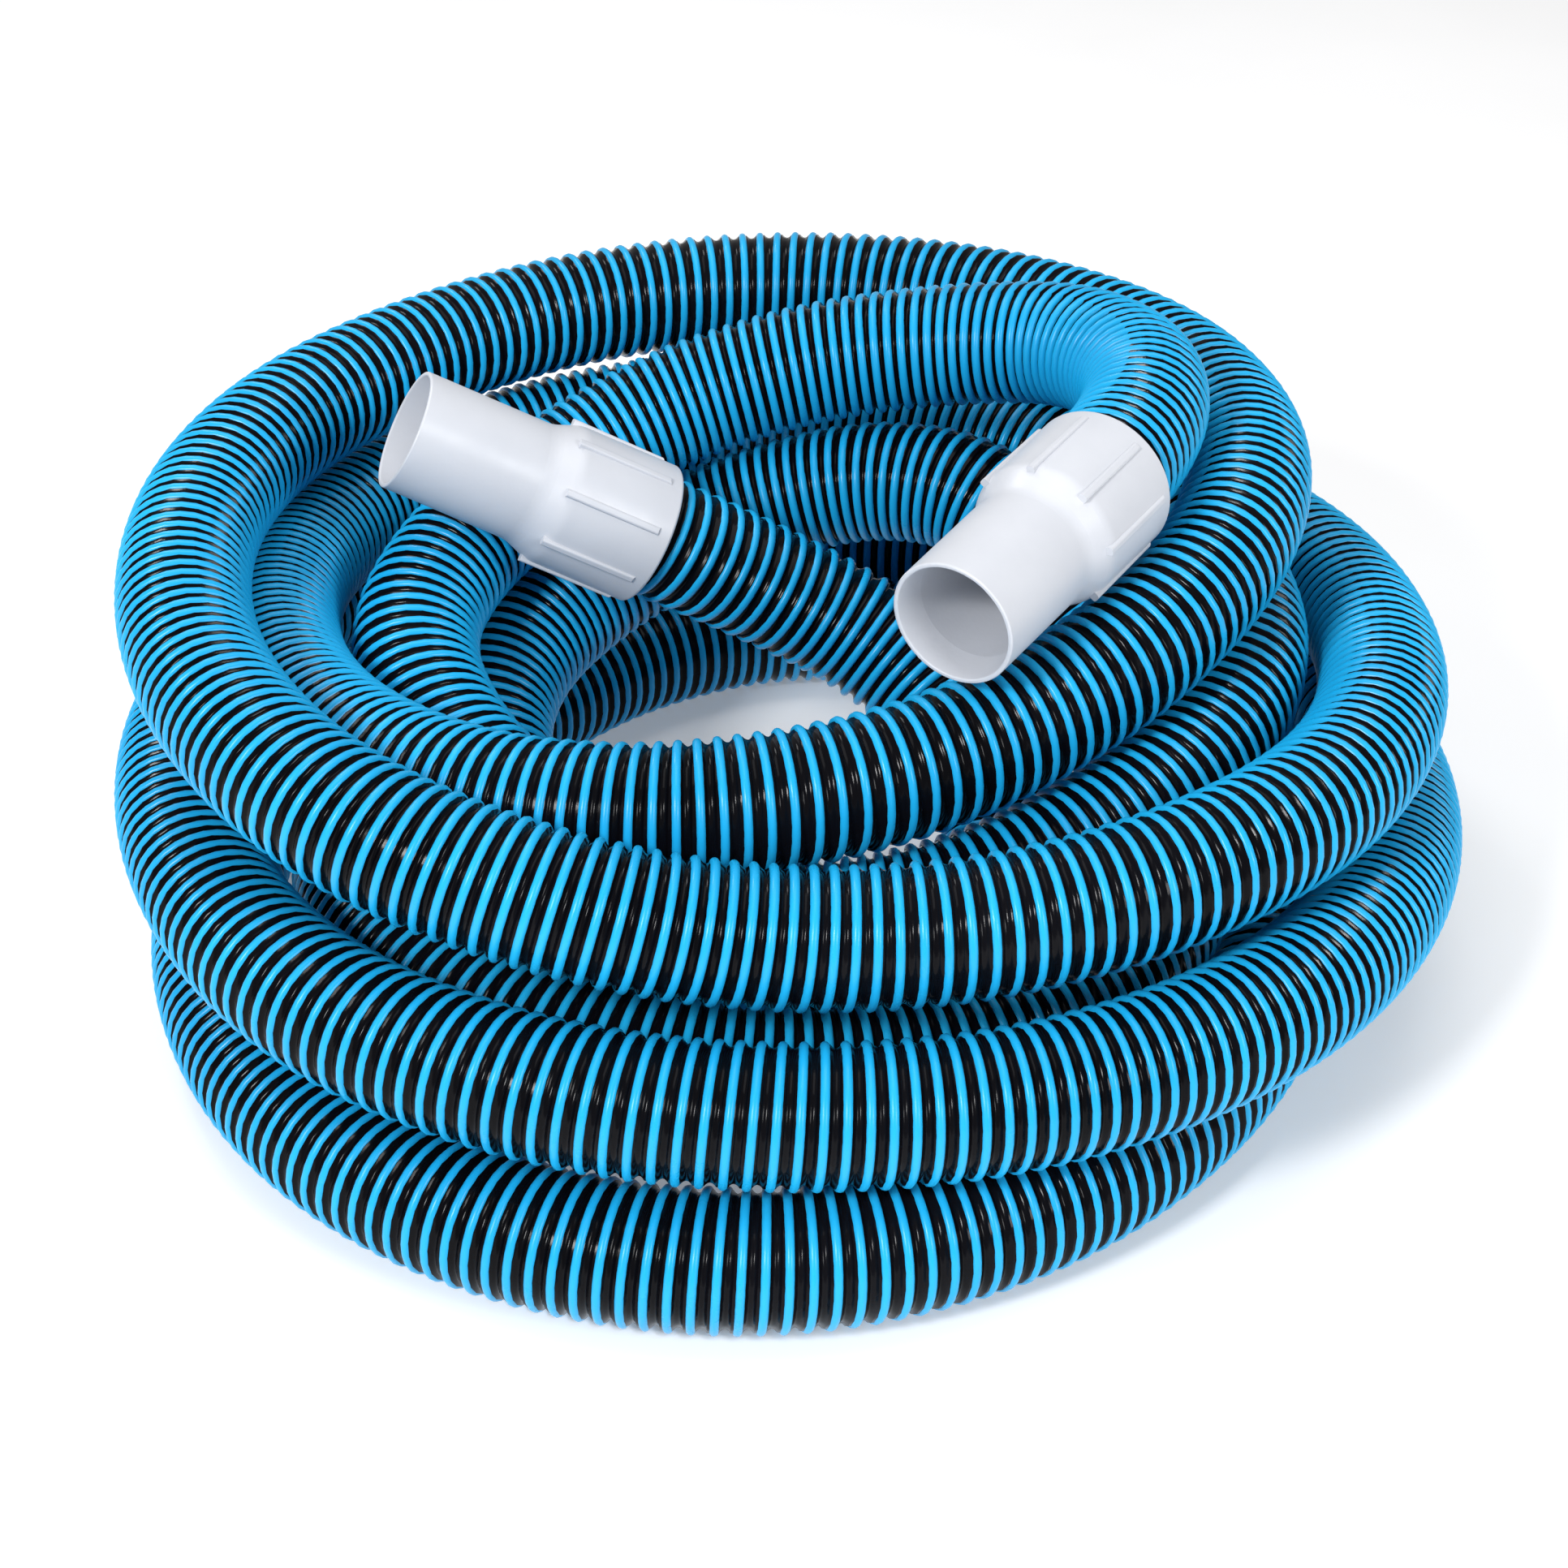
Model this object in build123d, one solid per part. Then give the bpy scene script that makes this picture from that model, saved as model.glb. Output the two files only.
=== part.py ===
from build123d import *

import math
import os

# Pool vacuum hose, wound into a loose coil for storage, with a fixed cuff on one end
# and a swivel cuff on the other. Millimetres, +Z up. The origin is on the floor, under
# the middle of the coil's footprint.

# ---- Hose ----
HOSE_BORE = 38.0
HOSE_OD = 47.0
HOSE_RADIUS = HOSE_OD / 2
ARC_SHARE = 0.45  # of the shorter run beside a corner, taken by the corner's arc

# ---- Coil ----
# The turns wind anticlockwise, seen from above, about a vertical axis. Each turn has
# eight stations, 45 degrees apart from the back round to the left: the distance of the
# hose's centreline from the axis, and its height. The turns are as loose as a hose that
# is wound by hand: they spread outward, ride up on each other and dive under.
COIL_AXIS_X = -3.8
COIL_AXIS_Y = -2.6
STATION_ANGLE = 45.0
FIRST_STATION_ANGLE = 90.0
POINTS_PER_STATION = 2
ON_FLOOR = HOSE_RADIUS
COIL_STATIONS = [
    # Small top turn, which dives to the middle of the coil.
    (116, 176), (122, 146), (137, 120), (114, 89),
    (124, 80), (140, 96.5), (170, 117), (183, 122),
    # Second turn, climbing at the front over the first.
    (191, 127), (206, 117), (186, 123), (155, 126),
    (119, 130), (115, 137), (161, 165), (212, 168),
    # Third turn, wide at the back and low inside at the front.
    (224, 166), (214, 165), (212, 163), (206, 144),
    (169, 110), (194, 117), (221, 108), (233, 100),
    # Fourth turn.
    (225, 90), (224, 71), (221, 85), (222, 79),
    (209, 71), (222, 71), (229, 59), (231, 50),
    # Fifth turn, coming down to the floor.
    (229, 34), (218, 25), (213, ON_FLOOR), (225, ON_FLOOR),
    (224, ON_FLOOR), (199, ON_FLOOR), (185, ON_FLOOR), (186, ON_FLOOR),
    # Sixth turn, inside the fifth, climbing at the right.
    (181, ON_FLOOR), (151, ON_FLOOR), (157, 40), (173, 61),
    (163, 49), (158, 50), (146, 67), (116, 136),
    # Half a turn more, down the inside to the floor.
    (103, 127), (112, 96), (111, 75), (93, 41),
    (92, 25),
]

# ---- Cuffs ----
# Both cuffs have one outline. Heights along a cuff are from its mouth, toward the hose.
CUFF_LENGTH = 100.0
CUFF_BORE_RADIUS = 19.05  # takes a 1 1/2 in spigot
ENTRY_RADIUS = 20.7  # a taper in the mouth leads the spigot in
ENTRY_DEPTH = 12.0
NOSE_LENGTH = 50.0
MOUTH_RADIUS = 22.3
NOSE_RADIUS = 22.7
SHOULDER_HEIGHT = 60.0
SHOULDER_RADIUS = 26.6
COLLAR_RADIUS = 27.1
LIP_ROUND = 0.6
FLARE_ROUND = 14.0
SHOULDER_ROUND = 10.0
COLLAR_ROUND = 1.2
STOP_RADIUS = 17.8  # a ring inside, where a spigot comes to rest
STOP_HEIGHT = 57.0
HOSE_END_HEIGHT = 64.5
STRAIGHT_TO_HEIGHT = 105.0  # the hose leaves a cuff straight, as far as this

RIB_COUNT = 8
RIB_WIDTH = 3.0
RIB_CROWN_RADIUS = 27.9
RIB_START = 57.0
RIB_END = 95.5
RIB_END_SLOPE = 1.5
RIB_ROOT_RADIUS = 25.9
RIB_FRONT_ROOT_RADIUS = 24.0
RIB_ROUND = 0.9

# ---- Swivel ----
# The ferrule is screwed on the hose's end. The cuff turns on it, between the washer on
# the cuff's inner shoulder and the retaining ring in the cuff's groove.
SWIVEL_CHAMBER_RADIUS = 25.08
SWIVEL_PLAY = 0.08
FERRULE_RADIUS = SWIVEL_CHAMBER_RADIUS - SWIVEL_PLAY
FERRULE_BACK_RADIUS = 24.4
FERRULE_LIP = 2.4
FERRULE_LIP_RADIUS = 19.6
FERRULE_END_HEIGHT = 99.0
WASHER_THICKNESS = 2.0
WASHER_RADIUS = 24.9
END_PLAY = 0.1
RETAINER_THICKNESS = 1.9
RETAINER_HEIGHT = 91.0
RETAINER_BORE_RADIUS = 24.5
RETAINER_RADIUS = 25.9
RETAINER_SPLIT = 3.0

# Where the cuffs lie on the coil: the centre of the mouth, the way in, and the side
# that the first rib is on.
SWIVEL_MOUTH = (54, -101, 185)
SWIVEL_INWARD = (0.555, 0.825, 0.10)
SWIVEL_RIB_SIDE = (-0.69, 0.39, 0.60)
FIXED_MOUTH = (-136, 22, 195.5)
FIXED_INWARD = (85, 14, -49)
FIXED_RIB_SIDE = (0.37, 0.51, 0.78)

# The hose between each cuff and the coil, point by point.
SWIVEL_TAIL_BENDS = [
    (131.5, 28.5, 199),
    (131, 66, 199),
    (110.5, 98.5, 195.5),
    (76, 113.5, 189),
    (38, 119, 183),
]
FIXED_TAIL_BENDS = [
    (40, -86, 28),
    (72, -65.5, 36),
    (84, -31, 50),
    (77, 2, 67),
    (58, 28.5, 83),
    (28, 44.5, 100.5),
    (-8, 45, 120.5),
]


def placed(x, y, z):
    """A point given from the coil's axis, in the part's own frame."""
    return Vector(x + COIL_AXIS_X, y + COIL_AXIS_Y, z)


def cuff_plane(mouth, inward, rib_side):
    """The plane of a cuff's mouth: its normal runs up the cuff, toward the hose."""
    return Plane(origin=placed(*mouth), x_dir=rib_side, z_dir=inward)


def along(plane, height):
    """The point on a cuff's axis at a height above its mouth."""
    return plane.origin + plane.z_dir * height


# ---- Route of the hose ----
def smooth_between(before, start, end, after, share):
    """A value between two stations, on a smooth curve through their neighbours."""
    slope_in = (end - before) / 2
    slope_out = (after - start) / 2
    rise = end - start
    bend = 3 * rise - 2 * slope_in - slope_out
    twist = slope_in + slope_out - 2 * rise
    return start + share * (slope_in + share * (bend + share * twist))


def coil_points():
    """The centreline's corners through the coil, sixteen to a turn."""
    step = STATION_ANGLE / POINTS_PER_STATION
    # The arcs cut inside their corners, so the corners stand out by this much.
    corner_reach = 1 / math.cos(math.radians(step / 2))
    points = []
    for index, (radius, height) in enumerate(COIL_STATIONS):
        before = COIL_STATIONS[max(index - 1, 0)]
        following = COIL_STATIONS[index + 1 : index + 3]
        end = following[0] if following else (radius, height)
        after = following[-1] if following else (radius, height)
        steps = POINTS_PER_STATION if following else 1
        for part_step in range(steps):
            share = part_step / POINTS_PER_STATION
            reach = corner_reach * smooth_between(before[0], radius, end[0], after[0], share)
            level = max(ON_FLOOR, smooth_between(before[1], height, end[1], after[1], share))
            turn = math.radians(FIRST_STATION_ANGLE + step * (index * POINTS_PER_STATION + part_step))
            points.append(placed(reach * math.cos(turn), reach * math.sin(turn), level))
    return points


def swivel_tail_points(plane):
    straight = [along(plane, HOSE_END_HEIGHT), along(plane, STRAIGHT_TO_HEIGHT)]
    return straight + [placed(*point) for point in SWIVEL_TAIL_BENDS]


def fixed_tail_points(plane):
    straight = [along(plane, STRAIGHT_TO_HEIGHT), along(plane, HOSE_END_HEIGHT)]
    return [placed(*point) for point in FIXED_TAIL_BENDS] + straight


def corner_radii(points):
    """The largest tangent arc that each corner's two runs leave room for."""
    radii = []
    for before, corner, after in zip(points, points[1:], points[2:]):
        run_in = corner - before
        run_out = after - corner
        half_turn = math.radians(run_in.get_angle(run_out)) / 2
        shorter = min(run_in.length, run_out.length)
        radii.append(ARC_SHARE * shorter / math.tan(half_turn))
    return radii


def hose_tube(points, radii):
    """A plain tube along straight runs and tangent arcs."""
    path = FilletPolyline(*points, radius=radii)
    start = Plane(origin=path @ 0, z_dir=path % 0)
    section = start * (Circle(HOSE_RADIUS) - Circle(HOSE_BORE / 2))
    tube = sweep(section, path=path)
    swept = path.length * section.area
    print(f"tube length {path.length:.0f}, volume {tube.volume:.0f}, section x length {swept:.0f}")
    return tube


def hose_tubes(swivel_plane, fixed_plane):
    """The two tails and the coil, which meet halfway along a straight run."""
    swivel_tail = swivel_tail_points(swivel_plane)
    coil = coil_points()
    fixed_tail = fixed_tail_points(fixed_plane)
    route = swivel_tail + coil + fixed_tail
    radii = corner_radii(route)
    print("corner radii", [round(radius) for radius in radii])
    coil_start = (swivel_tail[-1] + coil[0]) / 2
    coil_end = (coil[-1] + fixed_tail[0]) / 2
    first = len(swivel_tail) - 1
    last = first + len(coil)
    return {
        "hose_tail_swivel": hose_tube(swivel_tail + [coil_start], radii[:first]),
        "hose_coil": hose_tube([coil_start] + coil + [coil_end], radii[first:last]),
        "hose_tail_fixed": hose_tube([coil_end] + fixed_tail, radii[last:]),
    }


# ---- Cuffs ----
def turned(corners):
    """A solid of revolution from (radius, height, rounding) corners."""
    outline = [(radius, height) for radius, height, _ in corners]
    with BuildPart() as solid:
        with BuildSketch(Plane.XZ):
            with BuildLine():
                FilletPolyline(*outline, radius=[corner[2] for corner in corners], close=True)
            make_face()
        revolve(axis=Axis.Z)
    return solid.part


def cuff_outline():
    """The outer corners of a cuff, from the mouth to the edge on the hose."""
    return [
        (ENTRY_RADIUS, 0, LIP_ROUND),
        (MOUTH_RADIUS, 0, LIP_ROUND),
        (NOSE_RADIUS, NOSE_LENGTH, FLARE_ROUND),
        (SHOULDER_RADIUS, SHOULDER_HEIGHT, SHOULDER_ROUND),
        (COLLAR_RADIUS, CUFF_LENGTH, COLLAR_ROUND),
    ]


def cuff_ribs():
    """Grip ribs along the collar: they start abruptly and slope off at the hose end."""
    outline = [
        (RIB_FRONT_ROOT_RADIUS, RIB_START),
        (RIB_CROWN_RADIUS, RIB_START),
        (RIB_CROWN_RADIUS, RIB_END - RIB_END_SLOPE),
        (RIB_ROOT_RADIUS, RIB_END),
        (RIB_ROOT_RADIUS, SHOULDER_HEIGHT),
        (RIB_FRONT_ROOT_RADIUS, SHOULDER_HEIGHT),
    ]
    rib = extrude(Plane.XZ * make_face(Polyline(*outline, close=True)), RIB_WIDTH / 2, both=True)
    crown_edges = rib.edges().filter_by(Axis.Z).sort_by(Axis.X)[-2:]
    rib = fillet(crown_edges, RIB_ROUND)
    return [Rot(Z=360 * index / RIB_COUNT) * rib for index in range(RIB_COUNT)]


def fixed_cuff():
    inside = [
        (HOSE_RADIUS, CUFF_LENGTH, 0),
        (HOSE_RADIUS, HOSE_END_HEIGHT, 0),
        (STOP_RADIUS, HOSE_END_HEIGHT, 0),
        (STOP_RADIUS, STOP_HEIGHT, 0),
        (CUFF_BORE_RADIUS, STOP_HEIGHT, 0),
        (CUFF_BORE_RADIUS, ENTRY_DEPTH, 0),
    ]
    return turned(cuff_outline() + inside) + cuff_ribs()


def swivel_cuff():
    groove_end = RETAINER_HEIGHT + RETAINER_THICKNESS
    inside = [
        (SWIVEL_CHAMBER_RADIUS, CUFF_LENGTH, 0),
        (SWIVEL_CHAMBER_RADIUS, groove_end, 0),
        (RETAINER_RADIUS, groove_end, 0),
        (RETAINER_RADIUS, RETAINER_HEIGHT, 0),
        (SWIVEL_CHAMBER_RADIUS, RETAINER_HEIGHT, 0),
        (SWIVEL_CHAMBER_RADIUS, SHOULDER_HEIGHT, 0),
        (STOP_RADIUS, SHOULDER_HEIGHT, 0),
        (STOP_RADIUS, STOP_HEIGHT, 0),
        (CUFF_BORE_RADIUS, STOP_HEIGHT, 0),
        (CUFF_BORE_RADIUS, ENTRY_DEPTH, 0),
    ]
    return turned(cuff_outline() + inside) + cuff_ribs()


def ring(inner_radius, outer_radius, start, end):
    return Pos(Z=start) * extrude(Circle(outer_radius) - Circle(inner_radius), end - start)


def washer():
    return ring(FERRULE_LIP_RADIUS, WASHER_RADIUS, SHOULDER_HEIGHT, SHOULDER_HEIGHT + WASHER_THICKNESS)


def retainer():
    """A ring split across, to be squeezed through the cuff's end."""
    whole = ring(RETAINER_BORE_RADIUS, RETAINER_RADIUS, RETAINER_HEIGHT, RETAINER_HEIGHT + RETAINER_THICKNESS)
    split = Pos(RETAINER_RADIUS, 0, RETAINER_HEIGHT) * Box(
        RETAINER_RADIUS, RETAINER_SPLIT, 4 * RETAINER_THICKNESS
    )
    return whole - split


def ferrule():
    front = HOSE_END_HEIGHT - FERRULE_LIP
    step = RETAINER_HEIGHT - END_PLAY
    return turned(
        [
            (FERRULE_LIP_RADIUS, front, 0),
            (FERRULE_RADIUS, front, 0),
            (FERRULE_RADIUS, step, 0),
            (FERRULE_BACK_RADIUS, step, 0),
            (FERRULE_BACK_RADIUS, FERRULE_END_HEIGHT, 0),
            (HOSE_RADIUS, FERRULE_END_HEIGHT, 0),
            (HOSE_RADIUS, HOSE_END_HEIGHT, 0),
            (FERRULE_LIP_RADIUS, HOSE_END_HEIGHT, 0),
        ]
    )


# ---- All sub-parts, one file each ----
def main():
    swivel_plane = cuff_plane(SWIVEL_MOUTH, SWIVEL_INWARD, SWIVEL_RIB_SIDE)
    fixed_plane = cuff_plane(FIXED_MOUTH, FIXED_INWARD, FIXED_RIB_SIDE)
    nodes = hose_tubes(swivel_plane, fixed_plane)
    nodes["cuff_fixed"] = fixed_plane * fixed_cuff()
    nodes["cuff_swivel"] = swivel_plane * swivel_cuff()
    nodes["swivel_ferrule"] = swivel_plane * ferrule()
    nodes["swivel_retainer"] = swivel_plane * retainer()
    nodes["swivel_washer"] = swivel_plane * washer()
    for plane in (swivel_plane, fixed_plane):
        print("mouth", plane.origin, "inward", plane.z_dir)
    os.makedirs("parts", exist_ok=True)
    for name, solid in nodes.items():
        export_step(solid, f"parts/{name}.step")


main()
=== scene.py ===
import math

import bpy
import numpy as np
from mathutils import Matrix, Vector


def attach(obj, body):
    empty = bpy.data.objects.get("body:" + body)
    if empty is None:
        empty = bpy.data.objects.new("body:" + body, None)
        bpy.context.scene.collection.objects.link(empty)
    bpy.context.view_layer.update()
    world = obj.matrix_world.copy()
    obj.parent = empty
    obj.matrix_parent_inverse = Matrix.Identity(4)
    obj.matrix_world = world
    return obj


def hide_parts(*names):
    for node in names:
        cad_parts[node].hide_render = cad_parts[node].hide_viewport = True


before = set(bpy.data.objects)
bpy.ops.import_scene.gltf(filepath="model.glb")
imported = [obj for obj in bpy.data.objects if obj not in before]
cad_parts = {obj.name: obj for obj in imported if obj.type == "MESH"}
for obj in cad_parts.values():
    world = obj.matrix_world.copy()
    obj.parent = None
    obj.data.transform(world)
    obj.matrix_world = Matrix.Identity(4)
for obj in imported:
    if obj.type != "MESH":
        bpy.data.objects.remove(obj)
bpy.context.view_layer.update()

# A pool vacuum hose in a loose coil: a black wall, a black web and a blue bead wound round
# it side by side, and a white cuff on each end. Blender's metres, in the part's own frame.

MM = 0.001

# ---- Hose, in millimetres ----
HOSE_RADIUS = 23.5
HOSE_BORE_RADIUS = 19.0
WALL_RADIUS = 19.9
WALL_RING_SPACING = 8.0
WEB_VALLEY_RADIUS = 21.2
WEB_EDGE_RADIUS = 22.5
WEB_IN_WALL = 0.3  # how far the web is let into the wall
BEAD_WIDTH = 3.2

# ---- How finely the hose is made ----
WALL_SIDES = 32  # round the wall
WEB_SIDES = 24  # steps in a turn of the web
BEAD_SIDES = 30  # steps in a turn of the bead
BEAD_ARC_STEP = 30  # degrees, over the bead's round top
VALLEY_SHARES = (0.0, 0.15, 0.32, 0.5, 0.68, 0.85, 1.0)  # points across the web
STRIP_PIECES = 8
SHARP_ANGLE = 50  # degrees; edges sharper than this stay sharp

END_TURNS = 1.5  # left bare at each end of the hose, inside the cuffs

# How far apart the bead's turns lie: (metres along the hose, pitch in millimetres). A limp
# hose is squeezed in some places and stretched in others when it is wound by hand.
BEAD_PITCHES = [
    (0.2, 5.5), (0.9, 6.5), (1.6, 5.5), (1.8, 7.5), (1.95, 6.0), (2.1, 7.0),
    (2.5, 7.5), (2.75, 5.5), (3.0, 7.0), (3.7, 5.5), (4.3, 7.0), (4.6, 5.5),
    (5.0, 7.0), (5.5, 6.5), (6.4, 7.5), (7.25, 5.5), (7.9, 7.0),
]

# ---- Route, as in the part: from the swivel cuff, through the coil, to the fixed cuff ----
COIL_AXIS = (-3.8, -2.6)
STATION_ANGLE = 45.0
FIRST_STATION_ANGLE = 90.0
POINTS_PER_STATION = 2
ON_FLOOR = HOSE_RADIUS
COIL_STATIONS = [
    # Small top turn, which dives to the middle of the coil.
    (116, 176), (122, 146), (137, 120), (114, 89),
    (124, 80), (140, 96.5), (170, 117), (183, 122),
    # Second turn, climbing at the front over the first.
    (191, 127), (206, 117), (186, 123), (155, 126),
    (119, 130), (115, 137), (161, 165), (212, 168),
    # Third turn, wide at the back and low inside at the front.
    (224, 166), (214, 165), (212, 163), (206, 144),
    (169, 110), (194, 117), (221, 108), (233, 100),
    # Fourth turn.
    (225, 90), (224, 71), (221, 85), (222, 79),
    (209, 71), (222, 71), (229, 59), (231, 50),
    # Fifth turn, coming down to the floor.
    (229, 34), (218, 25), (213, ON_FLOOR), (225, ON_FLOOR),
    (224, ON_FLOOR), (199, ON_FLOOR), (185, ON_FLOOR), (186, ON_FLOOR),
    # Sixth turn, inside the fifth, climbing at the right.
    (181, ON_FLOOR), (151, ON_FLOOR), (157, 40), (173, 61),
    (163, 49), (158, 50), (146, 67), (116, 136),
    # Half a turn more, down the inside to the floor.
    (103, 127), (112, 96), (111, 75), (93, 41),
    (92, 25),
]
HOSE_END_HEIGHT = 64.5
STRAIGHT_TO_HEIGHT = 105.0
SWIVEL_MOUTH = (54, -101, 185)
SWIVEL_INWARD = (0.555, 0.825, 0.10)
FIXED_MOUTH = (-136, 22, 195.5)
FIXED_INWARD = (85, 14, -49)
SWIVEL_TAIL_BENDS = [
    (131.5, 28.5, 199),
    (131, 66, 199),
    (110.5, 98.5, 195.5),
    (76, 113.5, 189),
    (38, 119, 183),
]
FIXED_TAIL_BENDS = [
    (40, -86, 28),
    (72, -65.5, 36),
    (84, -31, 50),
    (77, 2, 67),
    (58, 28.5, 83),
    (28, 44.5, 100.5),
    (-8, 45, 120.5),
]


def placed(x, y, z):
    """A point given in millimetres from the coil's axis, in the part's own frame."""
    return Vector((x + COIL_AXIS[0], y + COIL_AXIS[1], z)) * MM


def on_cuff_axis(mouth, inward, height):
    return placed(*mouth) + Vector(inward).normalized() * height * MM


def smooth_between(before, start, end, after, share):
    """A value between two stations, on a smooth curve through their neighbours."""
    slope_in = (end - before) / 2
    slope_out = (after - start) / 2
    rise = end - start
    bend = 3 * rise - 2 * slope_in - slope_out
    twist = slope_in + slope_out - 2 * rise
    return start + share * (slope_in + share * (bend + share * twist))


def coil_points():
    """The route's points through the coil, sixteen to a turn."""
    step = STATION_ANGLE / POINTS_PER_STATION
    corner_reach = 1 / math.cos(math.radians(step / 2))
    points = []
    for index, (radius, height) in enumerate(COIL_STATIONS):
        before = COIL_STATIONS[max(index - 1, 0)]
        following = COIL_STATIONS[index + 1 : index + 3]
        end = following[0] if following else (radius, height)
        after = following[-1] if following else (radius, height)
        steps = POINTS_PER_STATION if following else 1
        for part_step in range(steps):
            share = part_step / POINTS_PER_STATION
            reach = corner_reach * smooth_between(before[0], radius, end[0], after[0], share)
            level = max(ON_FLOOR, smooth_between(before[1], height, end[1], after[1], share))
            turn = math.radians(FIRST_STATION_ANGLE + step * (index * POINTS_PER_STATION + part_step))
            points.append(placed(reach * math.cos(turn), reach * math.sin(turn), level))
    return points


def route_points():
    heights = (HOSE_END_HEIGHT, STRAIGHT_TO_HEIGHT)
    start = [on_cuff_axis(SWIVEL_MOUTH, SWIVEL_INWARD, height) for height in heights]
    end = [on_cuff_axis(FIXED_MOUTH, FIXED_INWARD, height) for height in reversed(heights)]
    swivel_tail = [placed(*point) for point in SWIVEL_TAIL_BENDS]
    fixed_tail = [placed(*point) for point in FIXED_TAIL_BENDS]
    return start + swivel_tail + coil_points() + fixed_tail + end


def spline_line(points):
    """The smooth line of a NURBS spline that has these control points."""
    data = bpy.data.curves.new("hose_route", "CURVE")
    data.dimensions = "3D"
    spline = data.splines.new("NURBS")
    spline.points.add(len(points) - 1)
    for control, point in zip(spline.points, points):
        control.co = (*point, 1.0)
    spline.order_u = 3
    spline.use_endpoint_u = True
    spline.resolution_u = 16
    holder = bpy.data.objects.new("hose_route", data)
    line = bpy.data.meshes.new_from_object(holder)
    read = np.array([vertex.co for vertex in line.vertices])
    bpy.data.objects.remove(holder)
    bpy.data.curves.remove(data)
    bpy.data.meshes.remove(line)
    return read


class Route:
    """The hose's centreline, with a frame carried along it that doesn't twist."""

    def __init__(self, line):
        steps = np.linalg.norm(np.diff(line, axis=0), axis=1)
        self.line = line
        self.distance = np.concatenate([[0.0], np.cumsum(steps)])
        self.length = self.distance[-1]
        tangent = np.gradient(line, self.distance, axis=0)
        self.tangent = tangent / np.linalg.norm(tangent, axis=1, keepdims=True)
        self.side = self.carried_sides()

    def carried_sides(self):
        sides = []
        side = np.cross(self.tangent[0], (0.0, 0.0, 1.0))
        for tangent in self.tangent:
            side = side - tangent * np.dot(side, tangent)
            side = side / np.linalg.norm(side)
            sides.append(side)
        return np.array(sides)

    def read(self, values, distance):
        return np.stack([np.interp(distance, self.distance, values[:, axis]) for axis in range(3)], axis=1)

    def around(self, distance, angle):
        """Centre, direction of the hose, and direction out to an angle round it."""
        centre = self.read(self.line, distance)
        tangent = self.read(self.tangent, distance)
        side = self.read(self.side, distance)
        up = np.cross(tangent, side)
        outward = np.cos(angle)[:, None] * side + np.sin(angle)[:, None] * up
        outward = outward / np.linalg.norm(outward, axis=1, keepdims=True)
        return centre, tangent, outward


def new_piece(name, vertices, faces, material):
    mesh = bpy.data.meshes.new(name)
    mesh.from_pydata(vertices.tolist(), [], faces)
    mesh.materials.append(material)
    piece = bpy.data.objects.new(name, mesh)
    bpy.context.scene.collection.objects.link(piece)
    mesh.shade_smooth()
    mesh.set_sharp_from_angle(angle=math.radians(SHARP_ANGLE))
    return piece


def ring_faces(rows, columns):
    """Quads between the rows of a grid that closes on itself across its columns."""
    faces = []
    for row in range(rows - 1):
        near = row * columns
        far = near + columns
        for column in range(columns):
            after = (column + 1) % columns
            faces.append((near + column, near + after, far + after, far + column))
    return faces


def hose_wall(route, material):
    """The hose's inner wall: a plain tube from end to end, smooth on the inside."""
    rings = round(route.length / (WALL_RING_SPACING * MM)) + 1
    distance = np.repeat(np.linspace(0, route.length, rings), WALL_SIDES)
    angle = np.tile(np.arange(WALL_SIDES) * 2 * math.pi / WALL_SIDES, rings)
    centre, _, outward = route.around(distance, angle)
    outer = centre + outward * WALL_RADIUS * MM
    inner = centre + outward * HOSE_BORE_RADIUS * MM
    count = len(outer)
    faces = ring_faces(rings, WALL_SIDES)
    faces += [tuple(count + index for index in reversed(face)) for face in faces]
    for end in (0, count - WALL_SIDES):
        for column in range(WALL_SIDES):
            near = end + column
            after = end + (column + 1) % WALL_SIDES
            ring = (near, count + near, count + after, after)
            faces.append(ring if end == 0 else ring[::-1])
    return new_piece("hose_wall", np.concatenate([outer, inner]), faces, material)


def bead_turns(route):
    """Distances along the hose, the bead's pitch there, and its turns up to there."""
    readings = round(route.length / MM)
    distance = np.linspace(0, route.length, readings)
    at, pitch = zip(*BEAD_PITCHES)
    pitch = np.interp(distance, at, pitch) * MM
    turns = np.cumsum(np.gradient(distance) / pitch)
    return distance, pitch, turns


def wound_strips(name, route, sides, section, material):
    """A strip of closed section wound round the hose, in a few lengths.

    section lists (share of the pitch, offset, radius): where a corner is along the hose,
    past the bead's middle, and how far out."""
    distances, pitches, turns = bead_turns(route)
    whole_turns = int(turns[-1] - 2 * END_TURNS)
    columns = len(section)
    pieces = []
    for index in range(STRIP_PIECES):
        start = whole_turns * index // STRIP_PIECES
        stop = whole_turns * (index + 1) // STRIP_PIECES
        turn = END_TURNS + np.arange(start * sides, stop * sides + 1) / sides
        distance = np.interp(turn, turns, distances)
        pitch = np.interp(turn, turns, pitches)
        centre, tangent, outward = route.around(distance, -turn * 2 * math.pi)
        corners = []
        for share, offset, radius in section:
            shift = (share * pitch + offset * MM)[:, None]
            corners.append(centre + tangent * shift + outward * radius * MM)
        vertices = np.stack(corners, axis=1).reshape(-1, 3)
        faces = ring_faces(len(turn), columns)
        last = len(vertices) - columns
        faces.append(tuple(range(columns))[::-1])
        faces.append(tuple(range(last, last + columns)))
        pieces.append(new_piece(f"{name}_{index + 1}", vertices, faces, material))
    return pieces


def bead_section():
    """Round-topped, let into the web."""
    half = BEAD_WIDTH / 2
    middle = HOSE_RADIUS - half
    arc = [math.radians(angle) for angle in range(180, -1, -BEAD_ARC_STEP)]
    return [(0, half * math.cos(turn), middle + half * math.sin(turn)) for turn in arc]


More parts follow.
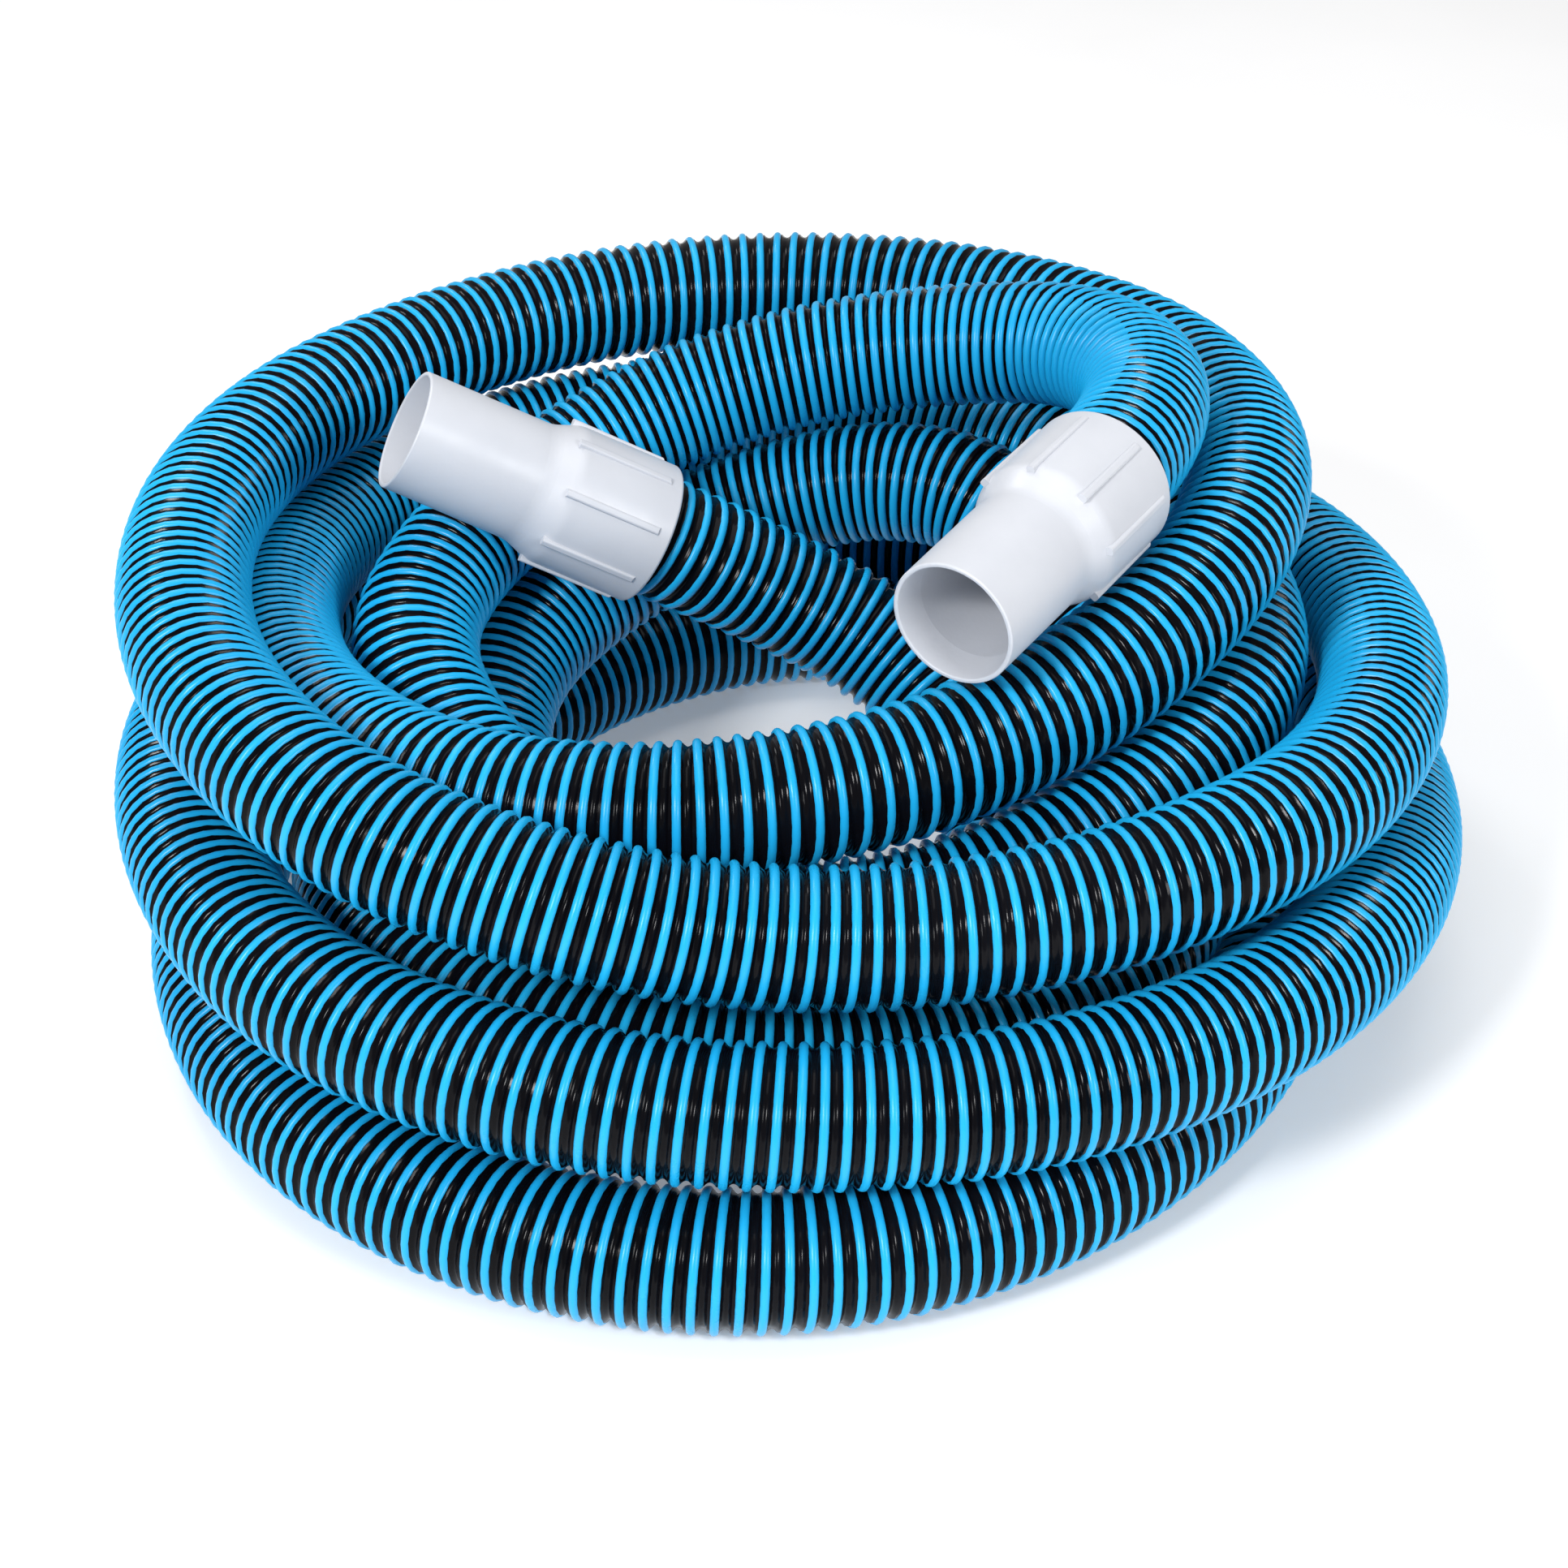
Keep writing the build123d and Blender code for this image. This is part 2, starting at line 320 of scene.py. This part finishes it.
def web_section():
    """A valley from one turn of the bead to the next, meeting the next strip under it."""
    edge = BEAD_WIDTH / 2
    depth = WEB_EDGE_RADIUS - WEB_VALLEY_RADIUS
    valley = []
    for share in VALLEY_SHARES:
        climb = abs(2 * share - 1) ** 2
        valley.append((share, edge * (1 - 2 * share), WEB_VALLEY_RADIUS + depth * climb))
    start = [(0, 0, WALL_RADIUS - WEB_IN_WALL), (0, 0, WEB_EDGE_RADIUS)]
    end = [(1, 0, WEB_EDGE_RADIUS), (1, 0, WALL_RADIUS - WEB_IN_WALL)]
    return [*start, *valley, *end]


# ---- Materials ----
GRAIN_HEIGHT = 0.0002


def new_material(name):
    material = bpy.data.materials.new(name)
    material.use_nodes = True
    return material, material.node_tree.nodes, material.node_tree.links


def noise(nodes, links, scale, detail, roughness=0.5):
    where = nodes.new("ShaderNodeTexCoord")
    cloud = nodes.new("ShaderNodeTexNoise")
    cloud.inputs["Scale"].default_value = scale
    cloud.inputs["Detail"].default_value = detail
    cloud.inputs["Roughness"].default_value = roughness
    links.new(where.outputs["Object"], cloud.inputs["Vector"])
    return cloud.outputs["Fac"]


def ramp(nodes, links, value, low, high, start=0.35, end=0.65):
    colours = nodes.new("ShaderNodeValToRGB")
    colours.color_ramp.elements[0].position = start
    colours.color_ramp.elements[0].color = (*low, 1)
    colours.color_ramp.elements[1].position = end
    colours.color_ramp.elements[1].color = (*high, 1)
    links.new(value, colours.inputs["Fac"])
    return colours.outputs["Color"]


def spread(nodes, links, value, low, high):
    span = nodes.new("ShaderNodeMapRange")
    span.inputs["From Min"].default_value = 0.3
    span.inputs["From Max"].default_value = 0.7
    span.inputs["To Min"].default_value = low
    span.inputs["To Max"].default_value = high
    links.new(value, span.inputs["Value"])
    return span.outputs["Result"]


def bumped(nodes, links, value, shader, strength, distance):
    bump = nodes.new("ShaderNodeBump")
    bump.inputs["Strength"].default_value = strength
    bump.inputs["Distance"].default_value = distance
    links.new(value, bump.inputs["Height"])
    links.new(bump.outputs["Normal"], shader.inputs["Normal"])


def plastic(name, low, high, gloss, cloud_scale, grain_scale, grain, specular=0.5):
    """A moulded or extruded plastic: slightly uneven in colour, gloss and surface."""
    material, nodes, links = new_material(name)
    shader = nodes["Principled BSDF"]
    cloud = noise(nodes, links, cloud_scale, 4)
    smear = noise(nodes, links, cloud_scale * 3, 6, 0.6)
    fine = noise(nodes, links, grain_scale, 3)
    links.new(ramp(nodes, links, cloud, low, high), shader.inputs["Base Color"])
    links.new(spread(nodes, links, smear, *gloss), shader.inputs["Roughness"])
    bumped(nodes, links, fine, shader, grain, GRAIN_HEIGHT)
    shader.inputs["Specular IOR Level"].default_value = specular
    return material


def blue_plastic():
    low, high = (0.010, 0.38, 0.74), (0.015, 0.44, 0.82)
    return plastic("bead_blue", low, high, (0.24, 0.36), 14, 900, 0.10, specular=0.28)


def black_plastic():
    low, high = (0.002, 0.002, 0.003), (0.004, 0.004, 0.006)
    return plastic("web_black", low, high, (0.10, 0.20), 14, 900, 0.12, specular=0.09)


def white_plastic():
    """A little light goes into the cuffs' plastic, so their shadows are soft."""
    low, high = (0.60, 0.62, 0.67), (0.65, 0.67, 0.72)
    material = plastic("cuff_white", low, high, (0.34, 0.46), 22, 700, 0.15)
    shader = material.node_tree.nodes["Principled BSDF"]
    shader.inputs["Subsurface Weight"].default_value = 0.08
    shader.inputs["Subsurface Radius"].default_value = (0.004, 0.004, 0.0045)
    return material


def black_rubber():
    low, high = (0.010, 0.010, 0.010), (0.020, 0.020, 0.020)
    return plastic("washer_black", low, high, (0.6, 0.8), 60, 1500, 0.3)


def floor_paint():
    """Pale, with a faint glow that keeps its shadows light."""
    material, nodes, links = new_material("floor_pale")
    shader = nodes["Principled BSDF"]
    cloud = noise(nodes, links, 3, 5)
    colour = ramp(nodes, links, cloud, (0.90, 0.90, 0.905), (0.93, 0.93, 0.935))
    links.new(colour, shader.inputs["Base Color"])
    links.new(spread(nodes, links, cloud, 0.7, 0.8), shader.inputs["Roughness"])
    shader.inputs["Emission Color"].default_value = (1, 1, 1, 1)
    shader.inputs["Emission Strength"].default_value = 0.22
    return material


# ---- Light, floor and camera ----
LIGHTS_AIM = (0, 0, 0.1)
SKY_STRENGTH = 0.35
FLOOR_REACH = 15.0
CAMERA_AIM = (0, -25, 74.4)  # millimetres, from the coil's axis
CAMERA_ELEVATION = 33
CAMERA_DISTANCE = 0.98
CAMERA_LENS = 61.1
CAMERA_SENSOR = 36.0


def aimed(thing, place, target):
    thing.location = place
    thing.rotation_euler = (Vector(target) - Vector(place)).to_track_quat("-Z", "Y").to_euler()


def softbox(name, place, size, power):
    """A square lamp, aimed at the middle of the coil."""
    data = bpy.data.lights.new(name, "AREA")
    data.shape = "SQUARE"
    data.size = size
    data.energy = power
    lamp = bpy.data.objects.new(name, data)
    bpy.context.scene.collection.objects.link(lamp)
    aimed(lamp, place, LIGHTS_AIM)


def development():
    """Plain contrast, so that the floor is white and the web is black."""
    view = bpy.context.scene.view_settings
    view.view_transform = "Standard"


def sky():
    world = bpy.data.worlds.new("studio")
    world.use_nodes = True
    background = world.node_tree.nodes["Background"]
    background.inputs["Color"].default_value = (1.0, 1.0, 1.0, 1)
    background.inputs["Strength"].default_value = SKY_STRENGTH
    bpy.context.scene.world = world


def floor():
    mesh = bpy.data.meshes.new("floor")
    reach = FLOOR_REACH
    corners = [(-reach, -reach, 0), (reach, -reach, 0), (reach, reach, 0), (-reach, reach, 0)]
    mesh.from_pydata(corners, [], [(0, 1, 2, 3)])
    mesh.materials.append(floor_paint())
    ground = bpy.data.objects.new("floor", mesh)
    bpy.context.scene.collection.objects.link(ground)


def camera():
    """Seen from the front and above."""
    target = placed(*CAMERA_AIM)
    elevation = math.radians(CAMERA_ELEVATION)
    back = Vector((0, -math.cos(elevation), math.sin(elevation)))
    data = bpy.data.cameras.new("camera")
    data.lens = CAMERA_LENS
    data.sensor_width = CAMERA_SENSOR
    view = bpy.data.objects.new("camera", data)
    bpy.context.scene.collection.objects.link(view)
    aimed(view, target + back * CAMERA_DISTANCE, target)
    bpy.context.scene.camera = view


# ---- The object ----
def hose():
    route = Route(spline_line(route_points()))
    black = black_plastic()
    wall = hose_wall(route, black)
    web = wound_strips("web", route, WEB_SIDES, web_section(), black)
    bead = wound_strips("bead", route, BEAD_SIDES, bead_section(), blue_plastic())
    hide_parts("hose_coil", "hose_tail_swivel", "hose_tail_fixed")
    for piece in [wall, *web, *bead]:
        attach(piece, "hose")


def cuffs():
    white = white_plastic()
    looks = {
        "cuff_fixed": white,
        "cuff_swivel": white,
        "swivel_ferrule": white,
        "swivel_retainer": white,
        "swivel_washer": black_rubber(),
    }
    for name, material in looks.items():
        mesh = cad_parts[name].data
        mesh.materials.clear()
        mesh.materials.append(material)


development()
camera()
floor()
sky()
softbox("key", (-0.9, -1.3, 1.25), size=0.36, power=25)
softbox("second", (1.25, -1.25, 0.95), size=0.5, power=13)
softbox("rear", (-0.9, 1.2, 1.6), size=0.5, power=7)
softbox("overhead", (0, 0.2, 2.2), size=1.6, power=15)
hose()
cuffs()
